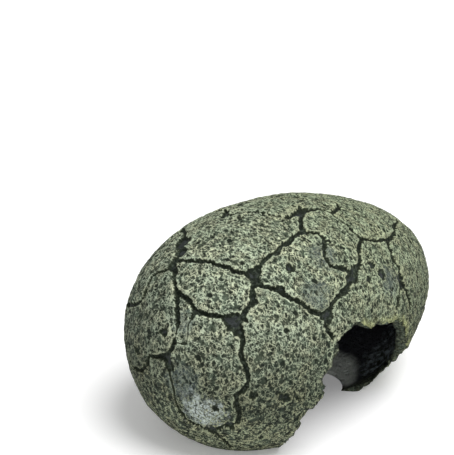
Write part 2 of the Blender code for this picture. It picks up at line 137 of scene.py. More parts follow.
class Form:
    """The egg as a formula. Broad at -X, pointed at +X, every cross-section a circle."""

    def __init__(self, settings):
        self.half = settings.length / 2
        self.girth = settings.girth
        self.shift = settings.girth_shift
        self.height = settings.axis_height

    def swell_term(self, x):
        """The part of the egg's equation that makes one end broader."""
        return (2 * self.half) ** 2 + 8 * self.shift * x + 4 * self.shift**2

    def across(self, x):
        """Radius that a cross-section would have if the egg didn't close towards its ends."""
        return self.girth * self.half / np.sqrt(self.swell_term(x))

    def ways(self, points):
        """Unit vectors that name the places nearest to points close to the surface."""
        x, y, z = points[:, 0], points[:, 1], points[:, 2] - self.height
        across = self.across(x)
        found = np.stack([x / self.half, y / across, z / across], 1)
        return found / np.linalg.norm(found, axis=1, keepdims=True)

    def surface(self, ways):
        """The surface points that unit vectors name."""
        x = self.half * ways[:, 0]
        across = self.across(x)
        return np.stack([x, across * ways[:, 1], self.height + across * ways[:, 2]], 1)

    def onto(self, points):
        """The surface points nearest to points close to the surface."""
        return self.surface(self.ways(points))

    def normals(self, points):
        """Outward normals: the slope of the egg's own equation."""
        x, y, z = points[:, 0], points[:, 1], points[:, 2] - self.height
        square = (self.girth * self.half) ** 2
        term = self.swell_term(x)
        slope = np.stack(
            [
                2 * x / self.half**2 + (y**2 + z**2) * 8 * self.shift / square,
                2 * y * term / square,
                2 * z * term / square,
            ],
            1,
        )
        return slope / np.linalg.norm(slope, axis=1, keepdims=True)

    def place(self, lon, lat):
        """The surface point at a longitude and latitude, in degrees, with the pole at the top."""
        lon, lat = math.radians(lon), math.radians(lat)
        way = (math.cos(lat) * math.cos(lon), math.cos(lat) * math.sin(lon), math.sin(lat))
        return self.surface(np.array([way]))[0]


# How much weaker and how much finer each octave of the swelling is than the last, and how many
SWELL_OCTAVES = (0.7, 2.0, 3)


def swelling(points, settings):
    """The slow swelling of the skin, the same as the solid's."""
    pitch = settings.swell_pitch
    rise = [noise.fractal(Vector(point) / pitch, *SWELL_OCTAVES) for point in points]
    return settings.swell * np.array(rise)


def smooth_step(values):
    values = np.clip(values, 0, 1)
    return values * values * (3 - 2 * values)


# ----------------------------------------
# Mesh helpers
# ----------------------------------------


def read(collection, key, width=1, kind=np.float64):
    """One property of everything in a mesh's collection, as an array with a row for each."""
    found = np.empty(len(collection) * width, kind)
    collection.foreach_get(key, found)
    return found.reshape(-1, width) if width > 1 else found


def positions(mesh):
    return read(mesh.vertices, "co", 3)


def set_positions(mesh, points):
    mesh.vertices.foreach_set("co", points.astype(np.float32).ravel())
    mesh.update()


def set_point_values(mesh, name, values):
    """Stores numbers or vectors on the mesh's points under a name."""
    kind, key = ("FLOAT", "value") if values.ndim == 1 else ("FLOAT_VECTOR", "vector")
    layer = mesh.attributes.get(name) or mesh.attributes.new(name, kind, "POINT")
    layer.data.foreach_set(key, values.astype(np.float32).ravel())


def only(obj):
    """Selects one object alone and makes it active."""
    bpy.ops.object.select_all(action="DESELECT")
    obj.select_set(True)
    bpy.context.view_layer.objects.active = obj


def tree_of(points):
    tree = KDTree(len(points))
    for index, point in enumerate(points):
        tree.insert(point, index)
    tree.balance()
    return tree


def corners(mesh):
    """Each triangle's three points, as indices."""
    return read(mesh.loops, "vertex_index", kind=np.int32).reshape(-1, 3)


def edge_ends(mesh):
    """Each edge's two points, as indices."""
    return read(mesh.edges, "vertices", 2, np.int32)


# ----------------------------------------
# The shell: a fine copy of the solid
# ----------------------------------------

# The solid's doubled points lie this close together
MERGE_REACH = 0.01 * MM

# How much of a face's normal points out of the egg: more than the first on the skin, and less than
# the second on the lining. The foot lies within FOOT_RISE of the ground and faces straight down
SKIN_FACING, LINING_FACING = 0.1, -0.5
FOOT_RISE, FOOT_FACING = 0.05 * MM, -0.9
# Skin lies no deeper than this share of the cracks' depth
SKIN_DEPTH = 1.04

# How near to the middle of a crack, and to the broken edge, the mesh is finer
CRACK_NEAR, BREAK_NEAR = 0.7 * MM, 9 * MM
# The longest edge near the broken edge, as a share of the skin's
BREAK_STEP = 1.5
DIVIDE_ROUNDS = 5


def copy_of_solid():
    """A merged copy of the solid, as a new object."""
    shell = bpy.data.objects.new("fossil_eggshell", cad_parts[SHELL_NODE].data.copy())
    bpy.context.scene.collection.objects.link(shell)
    only(shell)
    bpy.ops.object.mode_set(mode="EDIT")
    bpy.ops.mesh.select_all(action="SELECT")
    bpy.ops.mesh.remove_doubles(threshold=MERGE_REACH)
    bpy.ops.mesh.customdata_custom_splitnormals_clear()
    bpy.ops.mesh.mark_sharp(clear=True)
    bpy.ops.object.mode_set(mode="OBJECT")
    shell.data.materials.clear()
    shell.data.name = "fossil_eggshell"
    return shell


def sunk(points, form, settings):
    """How deep each point lies under the egg's swollen form."""
    base = form.onto(points)
    return swelling(base, settings) - ((points - base) * form.normals(base)).sum(1)


def sort_faces(mesh, form, settings, relief):
    """Marks each face as skin, inside, broken edge or foot, by the way it faces and its depth."""
    middle = read(mesh.polygons, "center", 3)
    facing = read(mesh.polygons, "normal", 3)
    outward = (facing * form.normals(middle)).sum(1)
    depth = sunk(positions(mesh), form, settings)[corners(mesh)].max(1)
    kind = np.full(len(middle), BREAK, np.int32)
    kind[(outward > SKIN_FACING) & (depth < relief.crack_depth * SKIN_DEPTH)] = SKIN
    kind[outward < LINING_FACING] = INSIDE
    kind[(middle[:, 2] < FOOT_RISE) & (facing[:, 2] < FOOT_FACING)] = FOOT
    for name in SURFACES:
        mesh.materials.append(bpy.data.materials.new(name))
    mesh.polygons.foreach_set("material_index", kind)


def kinds(mesh):
    """Each face's place in SURFACES."""
    return read(mesh.polygons, "material_index", kind=np.int32)


def touching(mesh, kind):
    """True for every point that belongs to a face of this kind."""
    found = np.zeros(len(mesh.vertices), bool)
    found[corners(mesh)[kinds(mesh) == kind]] = True
    return found


def edge_limits(mesh, ends, middle, relief, marks, broken):
    """The longest that each edge may be. Cracks get the smallest, and the hole's sides the next."""
    kind = kinds(mesh)
    steps = np.full(len(SURFACES), relief.skin_step)
    steps[[INSIDE, FOOT]] = relief.inside_step
    limit = np.full(len(ends), relief.inside_step)
    by_edge = read(mesh.loops, "edge_index", kind=np.int32)
    np.minimum.at(limit, by_edge, np.repeat(steps[kind], 3))
    on_skin = np.zeros(len(ends), bool)
    on_skin[by_edge[np.repeat(kind == SKIN, 3)]] = True
    for index in np.flatnonzero(on_skin):
        if marks.find(middle[index])[2] < CRACK_NEAR:
            limit[index] = relief.crack_step
    for index in np.flatnonzero(~on_skin):
        if broken.find(middle[index])[2] < BREAK_NEAR:
            limit[index] = min(limit[index], BREAK_STEP * relief.skin_step)
    return limit


def divide(shell, relief, form, marks):
    """Halves every edge that is too long for the place it lies in, a few rounds of it."""
    mesh = shell.data
    marks = tree_of([mark[0] for mark in marks])
    broken = tree_of(read(mesh.polygons, "center", 3)[kinds(mesh) == BREAK])
    for _ in range(DIVIDE_ROUNDS):
        ends = edge_ends(mesh)
        points = positions(mesh)
        middle = points[ends].mean(1)
        lengths = np.linalg.norm(points[ends[:, 0]] - points[ends[:, 1]], axis=1)
        skin = touching(mesh, SKIN)[ends].all(1)
        middle[skin] = form.onto(middle[skin])
        long = lengths > edge_limits(mesh, ends, middle, relief, marks, broken)
        if not long.any():
            break
        bpy.ops.object.mode_set(mode="EDIT")
        bpy.ops.mesh.select_mode(type="EDGE")
        bpy.ops.mesh.select_all(action="DESELECT")
        bpy.ops.object.mode_set(mode="OBJECT")
        mesh.edges.foreach_set("select", long)
        bpy.ops.object.mode_set(mode="EDIT")
        bpy.ops.mesh.subdivide(number_cuts=1)
        bpy.ops.mesh.select_all(action="SELECT")
        bpy.ops.mesh.quads_convert_to_tris(quad_method="SHORTEST_DIAGONAL", ngon_method="BEAUTY")
        bpy.ops.object.mode_set(mode="OBJECT")


def relax(mesh, points, moving, rounds, settle=None):
    """Moves points halfway to the middle of their neighbours, and then back to their surface."""
    edges = edge_ends(mesh)
    here, there = np.concatenate([edges, edges[:, ::-1]]).T
    count = len(points)
    number = np.bincount(here, minlength=count)
    for _ in range(rounds):
        sums = [np.bincount(here, points[there, axis], count) for axis in range(3)]
        middle = np.stack(sums, 1) / number[:, None]
        points[moving] = (points[moving] + middle[moving]) / 2
        if settle:
            points[moving] = settle(points[moving])
    return points


# ----------------------------------------
# The cracks, read from the solid
# ----------------------------------------

# The solid's cracks have wide, sloping sides. First half of a crack's width there, then half of
# what is seen of it
WIDTHS = np.array([[0.7, 1.0, 1.5, 1.8, 2.4, 4.2], [0.72, 0.78, 0.82, 0.94, 1.5, 3.4]]) * MM
# How far a pit's side slopes into it
PIT_SIDE = 0.1 * MM

# Places where the cracks and pits differ from the solid's, some nearly healed and some wider:
# longitude and latitude in degrees, reach in millimetres, and the shares that are kept of the width
# and of the depth
ALTERED = [
    ((-168.0, 15.5), 7.5, 0.12, 0.1),
    ((-174.0, -6.0), 9.0, 0.45, 0.45),
    ((175.0, -0.6), 6.5, 0.65, 0.8),
    ((-41.0, 44.0), 8.0, 0.6, 0.8),
    ((157.0, 43.0), 6.0, 1.8, 1.0),
    ((150.2, 64.6), 4.0, 1.6, 1.0),
    ((168.0, 72.4), 6.0, 0.5, 0.6),
    ((-132.0, -6.5), 4.0, 1.7, 1.0),
    ((-70.5, 32.0), 7.5, 1.5, 1.0),
    ((-72.0, 13.0), 6.0, 1.5, 1.0),
]

# Skin of the solid that is less deep than SHALLOW is a plate's, and more than DEEP is a crack's or
# a pit's. A crack's middle has at least MIDDLE_SHARE of the depth, and a mark at every MARK_STEP
SHALLOW, DEEP = 0.15 * MM, 0.6 * MM
MIDDLE_SHARE = 0.9
MARK_STEP = 0.2 * MM
# How many marks are tried for each point, because a wide crack's side may be the nearest
MARKS_TRIED = 12


def crack_marks(mesh, form, settings, relief):
    """Places along the solid's cracks and hollows: points, half widths and depths."""
    points = positions(mesh)
    skin = touching(mesh, SKIN) & ~touching(mesh, BREAK) & ~touching(mesh, FOOT)
    base = form.onto(points)
    depth = sunk(points, form, settings)
    shallow = tree_of(base[skin & (depth < SHALLOW)])
    deep = np.flatnonzero(skin & (depth > DEEP))
    reach = {index: shallow.find(base[index])[2] for index in deep}
    joined = [(a, b) for a, b in edge_ends(mesh) if a in reach and b in reach]
    in_crack = {index for pair in joined for index in pair}
    reach = {
        index: np.interp(found, *WIDTHS) if index in in_crack else found - PIT_SIDE
        for index, found in reach.items()
    }
    marks = [(base[index], reach[index], depth[index]) for index in deep]
    full = relief.crack_depth * MIDDLE_SHARE
    for a, b in joined:
        if min(depth[a], depth[b]) > full:
            parts = max(2, round(np.linalg.norm(base[a] - base[b]) / MARK_STEP))
            for i in range(1, parts):
                between = (row[a] + (row[b] - row[a]) * (i / parts) for row in (base, reach, depth))
                marks.append(tuple(between))
    return marks


def altered(marks, form):
    """The marks with their widths and depths changed about the places in ALTERED."""
    for centre, span, wide_share, deep_share in ALTERED:
        centre = form.place(*centre)
        marks = [
            (place, wide * wide_share, deep * deep_share)
            if np.linalg.norm(place - centre) < span * MM
            else (place, wide, deep)
            for place, wide, deep in marks
        ]
    return marks


def crack_distance(points, marks):
    """How far each point is from the nearest crack's side, less than nothing inside the crack, and
    that crack's half width and depth."""
    tree = tree_of([mark[0] for mark in marks])
    radii = np.array([mark[1] for mark in marks])
    depths = np.array([mark[2] for mark in marks])
    distance, reach, depth = (np.empty(len(points)) for _ in range(3))
    for row, point in enumerate(points):
        near = tree.find_n(point, MARKS_TRIED)
        gaps = [found[2] - radii[found[1]] for found in near]
        best = int(np.argmin(gaps))
        distance[row] = gaps[best]
        reach[row] = radii[near[best][1]]
        depth[row] = depths[near[best][1]]
    return distance, reach, depth


# ----------------------------------------
# The fine skin, laid on the egg's form
# ----------------------------------------

# Skin that folded is spread out this many times at the most, with the rings of faces about it
UNFOLD_TRIES, UNFOLD_RINGS, UNFOLD_ROUNDS = 8, 2, 12
# Skin nearer than this to a crack's middle stays where it is
CRACK_HOLD = 0.2 * MM
# How many rounds of evening out each surface gets
SKIN_ROUNDS, BREAK_ROUNDS, LINING_ROUNDS = 6, 1, 3

# The wall thins towards this foot of the hole: longitude and latitude in degrees, reach in
# millimetres, and how much of the wall goes
THIN_PLACE, THIN_REACH, THIN_SHARE = (-50, -56), 20, 0.7
# The thinning is whole within THIN_START less 1 of the reach, and gone at THIN_START of it
THIN_START = 1.4
# The least that counts as the level part of a normal, squared
LEAST_LEVEL = 0.2

# What is stored on the mesh is cut off at these, in millimetres
FARTHEST_RIM, FARTHEST_CRACK = 8, 5


def unfold(mesh, points, free, form):
    """Spreads out the skin again where faces lie inside out on the egg's form."""
    faces = corners(mesh)[kinds(mesh) == SKIN]
    edges = edge_ends(mesh)
    for _ in range(UNFOLD_TRIES):
        a, b, c = (points[faces[:, corner]] for corner in range(3))
        facing = form.normals(form.onto(points[faces].mean(1)))
        turned = np.zeros(len(points), bool)
        turned[faces[(np.cross(b - a, c - a) * facing).sum(1) < 0]] = True
        for _ in range(UNFOLD_RINGS):
            turned[edges[turned[edges].any(1)]] = True
        if not (turned & free).any():
            break
        points = relax(mesh, points, turned & free, UNFOLD_ROUNDS, form.onto)
    return points


def lay_on_form(shell, form, settings, marks):
    """Evens out the mesh, lays the skin on the form and notes where in the wall each point is."""
    mesh = shell.data
    marks = tree_of([mark[0] for mark in marks])
    points = positions(mesh)
    skin, wall = touching(mesh, SKIN), touching(mesh, BREAK)
    lining, foot = touching(mesh, INSIDE), touching(mesh, FOOT)
    free_skin = skin & ~wall & ~foot
    base = form.onto(points)
    off_cracks = np.array([marks.find(place)[2] > CRACK_HOLD for place in base])
    points[free_skin] = base[free_skin]
    points = relax(mesh, points, free_skin & off_cracks, SKIN_ROUNDS, form.onto)
    points = unfold(mesh, points, free_skin, form)
    points = relax(mesh, points, wall & ~skin & ~lining & ~foot, BREAK_ROUNDS)
    points = relax(mesh, points, lining & ~wall & ~foot, LINING_ROUNDS)
    base = form.onto(points)
    facing = form.normals(base)
    depth = ((base - points) * facing).sum(1) / settings.wall
    depth[skin] = 0
    depth[lining] = 1
    points[free_skin] += facing[free_skin] * swelling(points[free_skin], settings)[:, None]
    away = np.linalg.norm(points - form.place(*THIN_PLACE), axis=1)
    near = smooth_step(THIN_START - away / (THIN_REACH * MM))
    level = facing * (1, 1, 0)
    level /= np.maximum((level**2).sum(1, keepdims=True), LEAST_LEVEL)
    points += level * (np.clip(depth, 0, 1) * settings.wall * THIN_SHARE * near)[:, None]
    points[:, 2] = np.maximum(points[:, 2], 0)
    set_positions(mesh, points)
    set_point_values(mesh, "wall_depth", np.clip(depth, 0, 1))
    set_point_values(mesh, "rest_place", points / MM)
    edge = tree_of(points[wall])
    away = np.array([edge.find(point)[2] for point in points]) / MM
    set_point_values(mesh, "rim_distance", np.minimum(away, FARTHEST_RIM))


def note_cracks(shell, form, marks):
    """Stores on each point how far off a crack is, and that crack's half width and depth."""
    distance, reach, depth = crack_distance(form.onto(positions(shell.data)), marks)
    distance = np.clip(distance / MM, -FARTHEST_CRACK, FARTHEST_CRACK)
    set_point_values(shell.data, "crack_distance", distance)
    set_point_values(shell.data, "crack_reach", reach / MM)
    set_point_values(shell.data, "crack_depth", depth / MM)


# ----------------------------------------
# Nodes
# ----------------------------------------


class Net:
    """Adds nodes to a tree and joins them. A value is a number, a tuple or a node's socket."""

    def __init__(self, tree):
        self.tree = tree

    def add(self, kind, **settings):
        node = self.tree.nodes.new(kind)
        for key, value in settings.items():
            setattr(node, key, value)
        return node

    def join(self, value, socket):
        if isinstance(value, bpy.types.NodeSocket):
            self.tree.links.new(value, socket)
        else:
            socket.default_value = value

    def math(self, operation, a, b=0.0, clamp=False):
        node = self.add("ShaderNodeMath", operation=operation, use_clamp=clamp)
        self.join(a, node.inputs[0])
        self.join(b, node.inputs[1])
        return node.outputs[0]

    def plus(self, a, b):
        return self.math("ADD", a, b)

    def less(self, a, b):
        return self.math("SUBTRACT", a, b)

    def times(self, a, b):
        return self.math("MULTIPLY", a, b)

    def either(self, a, b):
        return self.math("MAXIMUM", a, b)

    def opposite(self, value):
        return self.less(1.0, value)

    def share(self, value, low, high):
        """Low where the value is 0 and high where it is 1."""
        return self.plus(low, self.times(value, high - low))

    def step(self, value, start, end):
        """0 at start, 1 at end and smooth between. The start may be the larger."""
        node = self.add("ShaderNodeMapRange", interpolation_type="SMOOTHSTEP")
        self.join(value, node.inputs["Value"])
        low, high = (start, end) if start < end else (end, start)
        node.inputs["From Min"].default_value = low
        node.inputs["From Max"].default_value = high
        return node.outputs[0] if start < end else self.opposite(node.outputs[0])

    def vector(self, operation, a, b=(0, 0, 0), scale=None):
        node = self.add("ShaderNodeVectorMath", operation=operation)
        self.join(a, node.inputs[0])
        if scale is not None:
            self.join(scale, node.inputs["Scale"])
        else:
            self.join(b, node.inputs[1])
        return node.outputs["Value" if operation == "DISTANCE" else "Vector"]

    def noise(self, place, pitch, detail=2.0, roughness=0.5, output="Fac"):
        node = self.add("ShaderNodeTexNoise")
        self.join(place, node.inputs["Vector"])
        node.inputs["Scale"].default_value = 1 / pitch
        node.inputs["Detail"].default_value = detail
        node.inputs["Roughness"].default_value = roughness
        return next(socket for socket in node.outputs if socket.identifier == output)

    def waves(self, place, pitch, reach, detail=2.0, roughness=0.5):
        """Noise about 0, by up to half of reach each way."""
        return self.times(self.less(self.noise(place, pitch, detail, roughness), 0.5), reach)

    def patches(self, place, pitch, start, end, detail=2.0, roughness=0.5):
        """Noise cut to patches: 0 where it is under start, and 1 where it is over end."""
        return self.step(self.noise(place, pitch, detail, roughness), start, end)

    def cells(self, place, pitch, feature="F1", output="Distance"):
        node = self.add("ShaderNodeTexVoronoi", feature=feature)
        self.join(place, node.inputs["Vector"])
        node.inputs["Scale"].default_value = 1 / pitch
        return node.outputs[output]

    def part(self, colour, index=0):
        """One number out of a colour or vector."""
        node = self.add("ShaderNodeSeparateXYZ")
        self.join(colour, node.inputs[0])
        return node.outputs[index]

    def bent(self, place, pitch, reach):
        """The place moved about by noise, by up to half of reach each way."""
        wander = self.noise(place, pitch, 2.0, output="Color")
        offset = self.vector("SUBTRACT", wander, (0.5, 0.5, 0.5))
        return self.vector("ADD", place, self.vector("SCALE", offset, scale=reach))

    def tint(self, factor, a, b):
        """Colour a where the factor is 0 and b where it is 1."""
        node = self.add("ShaderNodeMix", data_type="RGBA")
        self.join(factor, node.inputs["Factor"])
        self.join(a, node.inputs[6])
        self.join(b, node.inputs[7])
        return node.outputs[2]


# ----------------------------------------
# Patterns of the stone, in millimetres
# ----------------------------------------


def attribute(net, name, kind="FLOAT"):
    """A value stored on the mesh's points, in either kind of tree."""
    if net.tree.bl_idname == "GeometryNodeTree":
        node = net.add("GeometryNodeInputNamedAttribute", data_type=kind)
        node.inputs["Name"].default_value = name
        return next(out for out in node.outputs if out.enabled and out.name == "Attribute")
    node = net.add("ShaderNodeAttribute", attribute_name=name)
    return node.outputs["Fac" if kind == "FLOAT" else "Vector"]


# How much the pattern is squeezed along each axis
SQUEEZE = (1.25, 0.95, 0.95)


def along(net, place):
    """The place squeezed, so that ridges run round the egg a little more than along it."""
    return net.vector("MULTIPLY", place, SQUEEZE)


# A crack's side wanders broadly and finely: the pitch of each, and its reach for a crumble of 1
WANDERS = ((2.4, 3.8), (0.9, 2.6))
# The share of the wander that each unit of a crack's half width lets in, up to the whole
WANDER_SHARE = 0.85
# How far a pore sets back the side of the crack beside it
PORE_OPENING = 0.4


def crack_edge(net, place, crumble, pore):
    """The distance to a crack's side, made ragged. Pores beside a crack open into it."""
    ragged = net.plus(*(net.waves(place, pitch, reach * crumble) for pitch, reach in WANDERS))
    strength = net.times(attribute(net, "crack_reach"), WANDER_SHARE)
    strength = net.math("MINIMUM", strength, 1.0)
    edge = net.plus(attribute(net, "crack_distance"), net.times(ragged, strength))
    return net.less(edge, net.times(pore, PORE_OPENING))


def open_stone(net, place, pitch):
    """How solid the stone is from 0 to 1, and its large pits, for the carving and the colour."""
    solid = net.noise(net.bent(place, 0.8 * pitch, 0.6 * pitch), pitch, 2.0, 0.6)
    bent = net.bent(place, 1.1 * pitch, 0.8 * pitch)
    lot = net.part(net.cells(bent, 3.4 * pitch, output="Color"))
    pit = net.step(net.cells(bent, 3.4 * pitch), 0.26, 0.14)
    return solid, net.times(pit, net.step(lot, 0.45, 0.55))


def coarse_pores(net, place, pitch):
    """How deep the stone is eaten away, from 0 to 1, without the finest ridges."""
    solid, pit = open_stone(net, place, pitch)
    return net.either(net.times(net.step(solid, 0.50, 0.36), 0.6), pit)


def ringed_pores(net, place, pitch):
    """The pale rings about some of the small round pores, and the pores themselves."""
    bent = net.bent(place, 0.9 * pitch, 1.3 * pitch)
    lot = net.part(net.cells(bent, 1.5 * pitch, output="Color"))
    away = net.less(net.cells(bent, 1.5 * pitch), net.share(lot, 0.16, 0.4))
    chosen = net.step(lot, 0.5, 0.7)
    ring = net.step(net.math("ABSOLUTE", net.less(away, 0.10)), 0.12, 0.0)
    return net.times(ring, chosen), net.times(net.step(away, 0.05, -0.12), chosen)


def fine_net(net, place, pitch):
    """Ridges and pores, each from 0 to 1, as fine as the eye sees them."""
    solid, pit = open_stone(net, place, pitch)
    winding = net.noise(net.bent(place, pitch, pitch), 1.3 * pitch, 2.0, 0.6)
    away = net.math("ABSOLUTE", net.less(winding, 0.5))
    walls = net.cells(net.bent(place, 0.6 * pitch, 0.5 * pitch), 0.95 * pitch, "DISTANCE_TO_EDGE")
    foam = net.times(net.step(walls, 0.10, 0.01), net.patches(place, 1.3 * pitch, 0.36, 0.52, 1.0))
    ring, hole = ringed_pores(net, place, pitch)
    pit = net.either(pit, net.times(hole, 0.9))
    ridge = net.either(net.either(net.step(away, 0.046, 0.0), foam), net.times(ring, 0.9))
    ridge = net.times(ridge, net.share(net.step(solid, 0.40, 0.50), 0.3, 1.0))
    ridge = net.times(ridge, net.opposite(pit))
    pore = net.either(net.times(net.step(away, 0.06, 0.17), 0.4), net.step(solid, 0.47, 0.38))
    pore = net.either(net.times(pore, net.opposite(ridge)), pit)
    return ridge, pore


# ----------------------------------------
# Carving
# ----------------------------------------

# In millimetres: how far from a crack's side it starts to slope down, and between which distances
# a lip rises along it
CRACK_TOP = 0.25
LIP_REACH, LIP_HEIGHT = (1.6, 0.4), 0.12
# Pitch and reach of the slow lumps
SKIN_LUMPS, LINING_LUMPS = (4.0, 1.1), (8.0, 1.2)
# How far from the broken edge its grain reaches, and the grain's pitch
GRAIN_REACH, GRAIN_PITCH = 4.0, 3.4
# The skin is worn by this much, at the least and the most, along the broken edge
WORN, WORN_REACH = (0.35, 0.85), 1.0
# Nothing moves at the ground, and everything moves in full above this height
FREE_HEIGHT = 1.5


def skin_rise(net, place, relief):
    """How far the outer skin rises: slow lumps and raised lips, less the cracks and the pores."""
    pore = coarse_pores(net, along(net, place), relief.pore_pitch / MM)
    edge = crack_edge(net, place, relief.crumble / MM, pore)
    cracked = net.step(edge, CRACK_TOP, CRACK_TOP - relief.crack_side / MM)
    plate = net.opposite(cracked)
    lumps = net.waves(place, *SKIN_LUMPS, 3.0, 0.6)
    lip = net.times(net.times(net.step(edge, *LIP_REACH), plate), LIP_HEIGHT)
    carved = net.times(cracked, attribute(net, "crack_depth"))
    bored = net.times(net.times(pore, plate), relief.pore_depth / MM)
    return net.less(net.less(net.plus(lumps, lip), carved), bored)


def carving(relief):
    """A geometry node group that moves each point along its normal by the stone's relief."""
    tree = bpy.data.node_groups.new("shell_carving", "GeometryNodeTree")
    tree.interface.new_socket("Geometry", in_out="INPUT", socket_type="NodeSocketGeometry")
    tree.interface.new_socket("Geometry", in_out="OUTPUT", socket_type="NodeSocketGeometry")
    net = Net(tree)
    source, result = net.add("NodeGroupInput"), net.add("NodeGroupOutput")
    place = attribute(net, "rest_place", "FLOAT_VECTOR")
    wall = attribute(net, "wall_depth")
    rim = attribute(net, "rim_distance")
    skin = net.times(net.step(wall, 0.1, 0.02), skin_rise(net, place, relief))
    lining = net.times(net.step(wall, 0.9, 0.98), net.waves(place, *LINING_LUMPS))
    worn = net.share(net.noise(place, 1.8, 1.0), *WORN)
    worn = net.times(net.times(net.step(rim, WORN_REACH, 0.0), worn), net.step(wall, 0.5, 0.0))
    rise = net.less(net.plus(skin, lining), worn)
    normal = net.add("GeometryNodeInputNormal").outputs[0]
    shaken = net.noise(place, GRAIN_PITCH, 3.0, 0.62, "Color")
    shaken = net.vector("SUBTRACT", shaken, (0.5, 0.5, 0.5))
    grain = net.times(net.step(rim, GRAIN_REACH, 0.0), 8.0 * relief.break_grain / MM)
    shaken = net.vector("SCALE", shaken, scale=grain)
    offset = net.vector("ADD", net.vector("SCALE", normal, scale=rise), shaken)
    free = net.step(net.part(place, 2), 0.0, FREE_HEIGHT)
    offset = net.vector("SCALE", offset, scale=net.times(free, MM))
    move = net.add("GeometryNodeSetPosition")
    tree.links.new(source.outputs[0], move.inputs["Geometry"])
    net.join(offset, move.inputs["Offset"])
    tree.links.new(move.outputs[0], result.inputs[0])
    return tree


def carve(shell, relief):
    """Applies the carving, and keeps the shell above the ground."""
    only(shell)
    carver = shell.modifiers.new("carving", "NODES")
    carver.node_group = carving(relief)
    bpy.ops.object.modifier_apply(modifier=carver.name)
    points = positions(shell.data)
    points[:, 2] = np.maximum(points[:, 2], 0)
    set_positions(shell.data, points)


# ----------------------------------------
# The piece's own map
# ----------------------------------------

# A chart is this many times as wide as one face of the cube about the egg
CHART_REACH = 1.35
# The map's rows from the bottom up: where each starts, and its height. The skin has two rows
FOOT_MIDDLE, FOOT_REACH = 0.06, 0.08
STRIP_START, STRIP_HEIGHT = 0.13, 0.05
LINING_START, LINING_HEIGHT = 0.2, 0.17
SKIN_START, SKIN_HEIGHT = 0.38, 0.31
SKIN_COLUMNS, LINING_COLUMNS = 3, 6
# The way from the egg's middle to the middle of the hole, about which the strip turns
HOLE_WAY = (-0.1, -0.95, -0.3)


def cube_chart(ways):
    """Which of a cube's six faces each unit vector points at."""
    axis = np.abs(ways).argmax(1)
    sign = np.take_along_axis(ways, axis[:, None], 1)[:, 0] > 0
    return axis * 2 + sign


def chart_place(ways, chart):
    """The place of each unit vector on its chart, from 0 to 1 both ways."""
    axis = chart // 2
    along, up, depth = (
        np.take_along_axis(ways, ((axis + turn) % 3)[:, None], 1)[:, 0] for turn in (1, 2, 0)
    )
    depth = np.abs(depth)
    flat = np.stack([np.arctan2(along, depth), np.arctan2(up, depth)], 1) / (math.pi / 4)
    return 0.5 + flat / (2 * CHART_REACH)


def around_hole(ways):
    """How far round the hole each unit vector lies, from 0 to 1."""
    hole = np.array(HOLE_WAY) / np.linalg.norm(HOLE_WAY)
    side = np.cross(hole, (0, 0, 1))
    side /= np.linalg.norm(side)
    up = np.cross(side, hole)
    return np.arctan2(ways @ up, ways @ side) / (2 * math.pi) + 0.5


def lay_out(shell, form):
    """An even map: six charts each for skin and lining, a strip for the broken edge, the foot."""
    mesh = shell.data
    points = positions(mesh)
    ends = corners(mesh)
    chart = np.repeat(cube_chart(form.ways(points[ends].mean(1))), 3)
    kind = np.repeat(kinds(mesh), 3)
    ends = ends.ravel()
    way = form.ways(points[ends])
    place = chart_place(way, chart)
    row = SKIN_START + chart // SKIN_COLUMNS * SKIN_HEIGHT
    skin = np.stack([chart % SKIN_COLUMNS / SKIN_COLUMNS, row], 1)
    place_uv = skin + place * (1 / SKIN_COLUMNS, SKIN_HEIGHT)
    lining = np.stack([chart / LINING_COLUMNS, np.full(len(chart), LINING_START)], 1)
    lining += place * (1 / LINING_COLUMNS, LINING_HEIGHT)
    wall = read(mesh.attributes["wall_depth"].data, "value", kind=np.float32)
    strip = np.stack([around_hole(way), STRIP_START + STRIP_HEIGHT * wall[ends]], 1)
    foot = (0.5, FOOT_MIDDLE) + points[ends][:, :2] / form.half * FOOT_REACH
    for surface, found in ((INSIDE, lining), (BREAK, strip), (FOOT, foot)):
        place_uv[kind == surface] = found[kind == surface]
    layer = mesh.uv_layers.new(name="OFBake")
    layer.data.foreach_set("uv", place_uv.astype(np.float32).ravel())


# ----------------------------------------
# The stone
# ----------------------------------------

# Tinted places: longitude and latitude in degrees, radius in millimetres
BLUE_SPOTS = [((-112, 49), 8), ((-81, 27), 8), ((-170, -1), 10), ((-172, 20), 6), ((-120, 33), 8)]
MOSS_SPOTS = [((-98, 13), 6), ((-86, 9), 9), ((-74, 3), 10), ((-65, -14), 8)]
BLEACH_SPOTS = [((-163, -12), 10)]
# Slate-grey places on the lining beside the hole, made paler in part as painted light
LIT_SLATE_SPOTS = [((-48, -45), 14), ((-40, -28), 13)]

# Places on the egg, in millimetres, between which a change of colour comes in. Low down the crests
# turn olive and the stone is darker. Painted shade also dims the stone towards the bottom, where
# less light falls, though less so again by the ground. At the back, turned from the light, painted
# shade dims the stone too, but not at the crown. Towards the pointed end it is darker and warmer
OLIVE_HEIGHTS = (66.0, 30.0)
PAINTED_SHADE_HEIGHTS, GROUND_HEIGHTS = (90.0, 35.0), (32.0, 8.0)
BACK_SHADE_DEPTHS, CROWN_HEIGHTS = (4.0, 24.0), (84.0, 66.0)
WARM_LENGTHS = (-50.0, 60.0)
# Painted light, a pale patch that stands for lit floor seen through the hole, lies below these
# heights on the lining, and thins out towards the hole
PAINTED_LIGHT_HEIGHTS, PAINTED_LIGHT_DRIFT, PAINTED_LIGHT_SLOPE = (6.5, 3.5), (-25.0, -17.0), 3.5
# How far from the broken edge the moss and the broken stone on the lining reach
MOSS_REACH, BROKEN_REACH = (4.5, 0.6), (6.5, 1.5)

# Shares of red, green and blue: in warmer and cooler clouds of the stone, and at the pointed end
WARM, COOL = (1.03, 0.995, 0.95, 1), (0.97, 1.005, 1.01, 1)
POINTED_END = (0.79, 0.80, 0.70)
ROUGHNESS, SPECULAR = 0.88, 0.2
BUMP_DEPTH = 0.7 * MM


